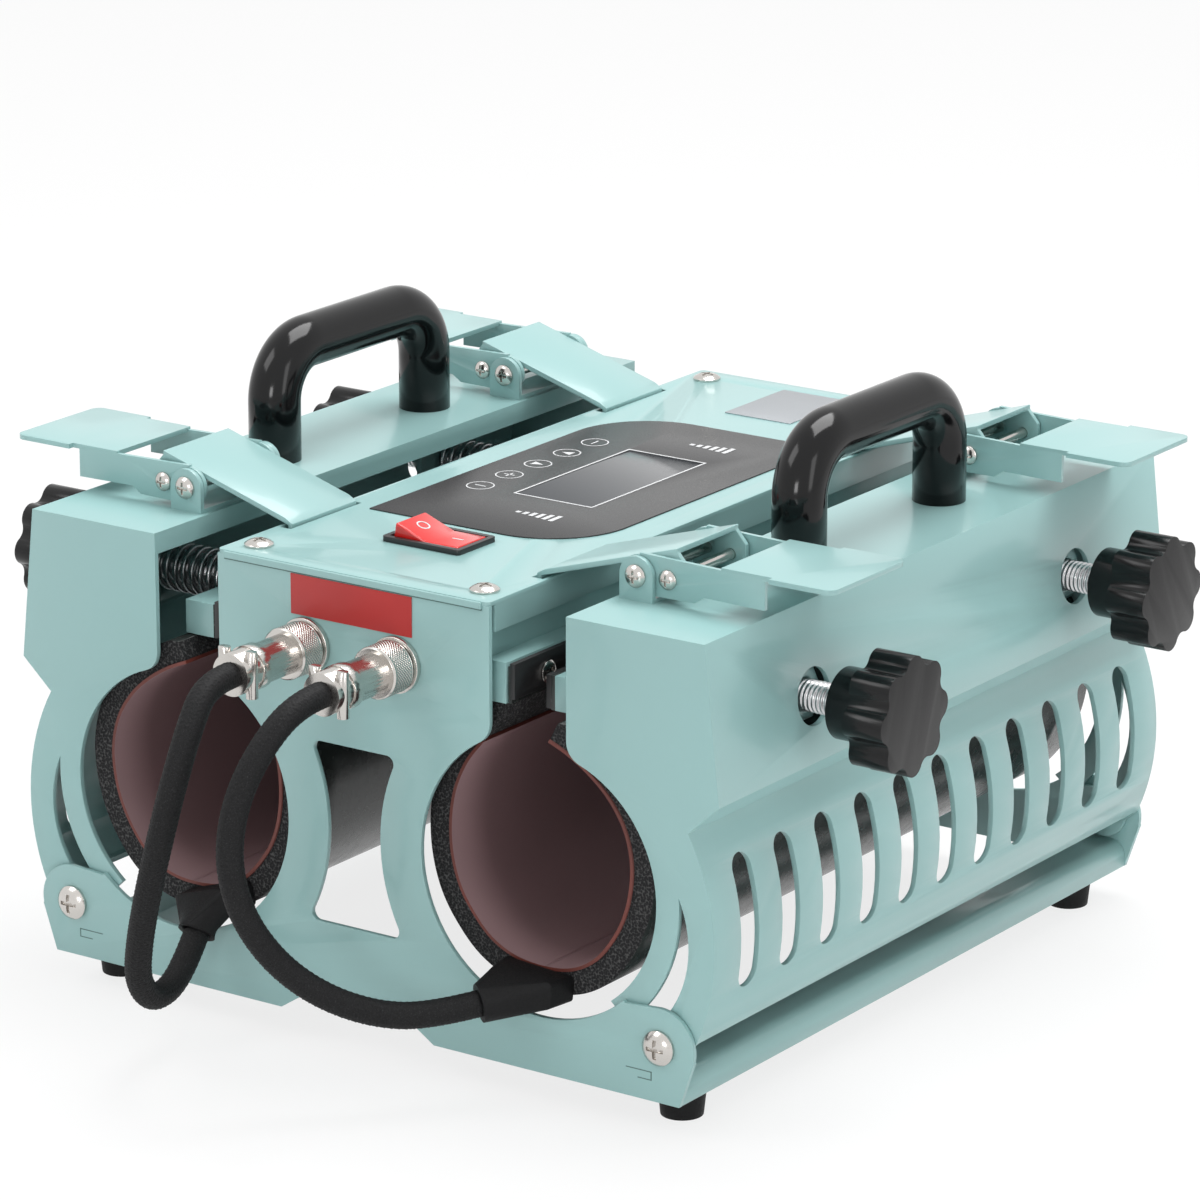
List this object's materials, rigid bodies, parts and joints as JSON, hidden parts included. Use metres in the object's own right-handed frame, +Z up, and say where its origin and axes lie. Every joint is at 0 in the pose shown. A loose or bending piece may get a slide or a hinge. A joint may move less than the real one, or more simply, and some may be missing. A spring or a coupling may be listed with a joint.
{
  "type": "double tumbler heat press",
  "caption": "Bench heat press with two open bays lined by heating mats, hinged side doors with toggle latches, knobs and a control panel on top.",
  "frame": {"origin": "on the table, below the middle of the machine's box without its mat cables", "axes": "+X to the machine's right side seen from the front, +Y to the back, +Z up"},
  "size_m": [0.387, 0.4182, 0.2335],
  "materials": {
    "paint": "gloss mint paint",
    "black_metal": "gloss black",
    "black_gloss": "gloss",
    "black_plastic": "satin",
    "rubber_black": "matte",
    "chrome": "polished",
    "steel": "bright",
    "overlay": "satin film",
    "screen": "gloss",
    "red_plastic": "gloss",
    "red_label": "satin",
    "grey_plate": "satin",
    "board": "matte",
    "foam": "matte closed-cell foam",
    "heater": "matte silicone",
    "braid": "braided sleeve"
  },
  "bodies": {
    "frame": {"front_plate": "paint", "rear_plate": "paint", "side_rails": "paint", "feet": "rubber_black", "hinge_screws": "chrome", "housing_tray": "paint", "control_cover": "paint", "cover_screws": "chrome", "display_overlay": "overlay", "lcd_window": "screen", "rocker_bezel": "black_plastic", "red_plate": "red_label", "grey_plate": "grey_plate", "control_board": "board", "panel_sockets": "chrome", "power_gland": "black_plastic", "foam_right": "foam", "foam_left": "foam", "heater_right": "heater", "heater_left": "heater", "fixed_bars": "paint", "clamp_strips": "black_metal", "strip_screws": "chrome", "cable_right": "braid", "cable_left": "braid", "mat_tail_right": "rubber_black", "mat_tail_left": "rubber_black", "plug_right": "chrome", "plug_left": "chrome"},
    "rocker": {"rocker_button": "red_plastic"},
    "door_right": {"door_shell_right": "paint", "handle_right": "black_metal", "latch_brackets_right": "paint", "nut_brackets_right": "steel", "springs_right": "steel"},
    "bar_right": {"press_bar_right": "paint", "press_strip_right": "black_metal"},
    "knob_front_right": {"knob_front_right": "black_gloss", "stud_front_right": "steel"},
    "lever_front_right": {"lever_front_right": "paint"},
    "hook_front_right": {"hook_front_right": "paint"},
    "knob_rear_right": {"knob_rear_right": "black_gloss", "stud_rear_right": "steel"},
    "lever_rear_right": {"lever_rear_right": "paint"},
    "hook_rear_right": {"hook_rear_right": "paint"},
    "door_left": {"door_shell_left": "paint", "handle_left": "black_metal", "latch_brackets_left": "paint", "nut_brackets_left": "steel", "springs_left": "steel"},
    "bar_left": {"press_bar_left": "paint", "press_strip_left": "black_metal"},
    "knob_front_left": {"knob_front_left": "black_gloss", "stud_front_left": "steel"},
    "lever_front_left": {"lever_front_left": "paint"},
    "hook_front_left": {"hook_front_left": "paint"},
    "knob_rear_left": {"knob_rear_left": "black_gloss", "stud_rear_left": "steel"},
    "lever_rear_left": {"lever_rear_left": "paint"},
    "hook_rear_left": {"hook_rear_left": "paint"}
  },
  "joints": [
    {"name": "rocker_tilt", "type": "hinge", "parent": "frame", "child": "rocker", "pos_m": [0, -0.10287, 0.1805], "axis": [0, 1, 0], "range_deg": [-20, 0]},
    {"name": "door_right_open", "type": "hinge", "parent": "frame", "child": "door_right", "pos_m": [0.132, 0.00063, 0.0326], "axis": [0, 1, 0], "range_deg": [0, 45]},
    {"name": "bar_right_press", "type": "slide", "parent": "door_right", "child": "bar_right", "axis": [1, 0, 0], "range_m": [-0.002, 0.002]},
    {"name": "knob_front_right_turn", "type": "hinge", "parent": "bar_right", "child": "knob_front_right", "pos_m": [0.18, -0.08937, 0.14735], "axis": [1, 0, 0], "range_deg": [-412, 412]},
    {"name": "lever_front_right_flip", "type": "hinge", "parent": "door_right", "child": "lever_front_right", "pos_m": [0.1, -0.09938, 0.1906], "axis": [0, -1, 0], "range_deg": [0, 64]},
    {"name": "hook_front_right_lift", "type": "hinge", "parent": "lever_front_right", "child": "hook_front_right", "pos_m": [0.112, -0.09938, 0.1906], "axis": [0, 1, 0], "range_deg": [0, 132]},
    {"name": "knob_rear_right_turn", "type": "hinge", "parent": "bar_right", "child": "knob_rear_right", "pos_m": [0.18, 0.09062, 0.14735], "axis": [1, 0, 0], "range_deg": [-412, 412]},
    {"name": "lever_rear_right_flip", "type": "hinge", "parent": "door_right", "child": "lever_rear_right", "pos_m": [0.1, 0.10063, 0.1906], "axis": [0, -1, 0], "range_deg": [0, 64]},
    {"name": "hook_rear_right_lift", "type": "hinge", "parent": "lever_rear_right", "child": "hook_rear_right", "pos_m": [0.112, 0.10063, 0.1906], "axis": [0, 1, 0], "range_deg": [0, 132]},
    {"name": "door_left_open", "type": "hinge", "parent": "frame", "child": "door_left", "pos_m": [-0.132, 0.00063, 0.0326], "axis": [0, -1, 0], "range_deg": [0, 45]},
    {"name": "bar_left_press", "type": "slide", "parent": "door_left", "child": "bar_left", "axis": [-1, 0, 0], "range_m": [-0.002, 0.002]},
    {"name": "knob_front_left_turn", "type": "hinge", "parent": "bar_left", "child": "knob_front_left", "pos_m": [-0.18, -0.08937, 0.14735], "axis": [-1, 0, 0], "range_deg": [-412, 412]},
    {"name": "lever_front_left_flip", "type": "hinge", "parent": "door_left", "child": "lever_front_left", "pos_m": [-0.1, -0.09938, 0.1906], "axis": [0, 1, 0], "range_deg": [0, 64]},
    {"name": "hook_front_left_lift", "type": "hinge", "parent": "lever_front_left", "child": "hook_front_left", "pos_m": [-0.112, -0.09938, 0.1906], "axis": [0, -1, 0], "range_deg": [0, 132]},
    {"name": "knob_rear_left_turn", "type": "hinge", "parent": "bar_left", "child": "knob_rear_left", "pos_m": [-0.18, 0.09062, 0.14735], "axis": [-1, 0, 0], "range_deg": [-412, 412]},
    {"name": "lever_rear_left_flip", "type": "hinge", "parent": "door_left", "child": "lever_rear_left", "pos_m": [-0.1, 0.10063, 0.1906], "axis": [0, 1, 0], "range_deg": [0, 64]},
    {"name": "hook_rear_left_lift", "type": "hinge", "parent": "lever_rear_left", "child": "hook_rear_left", "pos_m": [-0.112, 0.10063, 0.1906], "axis": [0, -1, 0], "range_deg": [0, 132]}
  ],
  "couplings": [
    {"joint": "knob_front_right_turn", "follows": "bar_right_press", "rad_per_m": 3590.4},
    {"joint": "lever_front_right_flip", "follows": "door_right_open", "ratio": 1.4},
    {"joint": "hook_front_right_lift", "follows": "door_right_open", "ratio": 2.9},
    {"joint": "knob_rear_right_turn", "follows": "bar_right_press", "rad_per_m": 3590.4},
    {"joint": "lever_rear_right_flip", "follows": "door_right_open", "ratio": 1.4},
    {"joint": "hook_rear_right_lift", "follows": "door_right_open", "ratio": 2.9},
    {"joint": "knob_front_left_turn", "follows": "bar_left_press", "rad_per_m": 3590.4},
    {"joint": "lever_front_left_flip", "follows": "door_left_open", "ratio": 1.4},
    {"joint": "hook_front_left_lift", "follows": "door_left_open", "ratio": 2.9},
    {"joint": "knob_rear_left_turn", "follows": "bar_left_press", "rad_per_m": 3590.4},
    {"joint": "lever_rear_left_flip", "follows": "door_left_open", "ratio": 1.4},
    {"joint": "hook_rear_left_lift", "follows": "door_left_open", "ratio": 2.9}
  ]
}
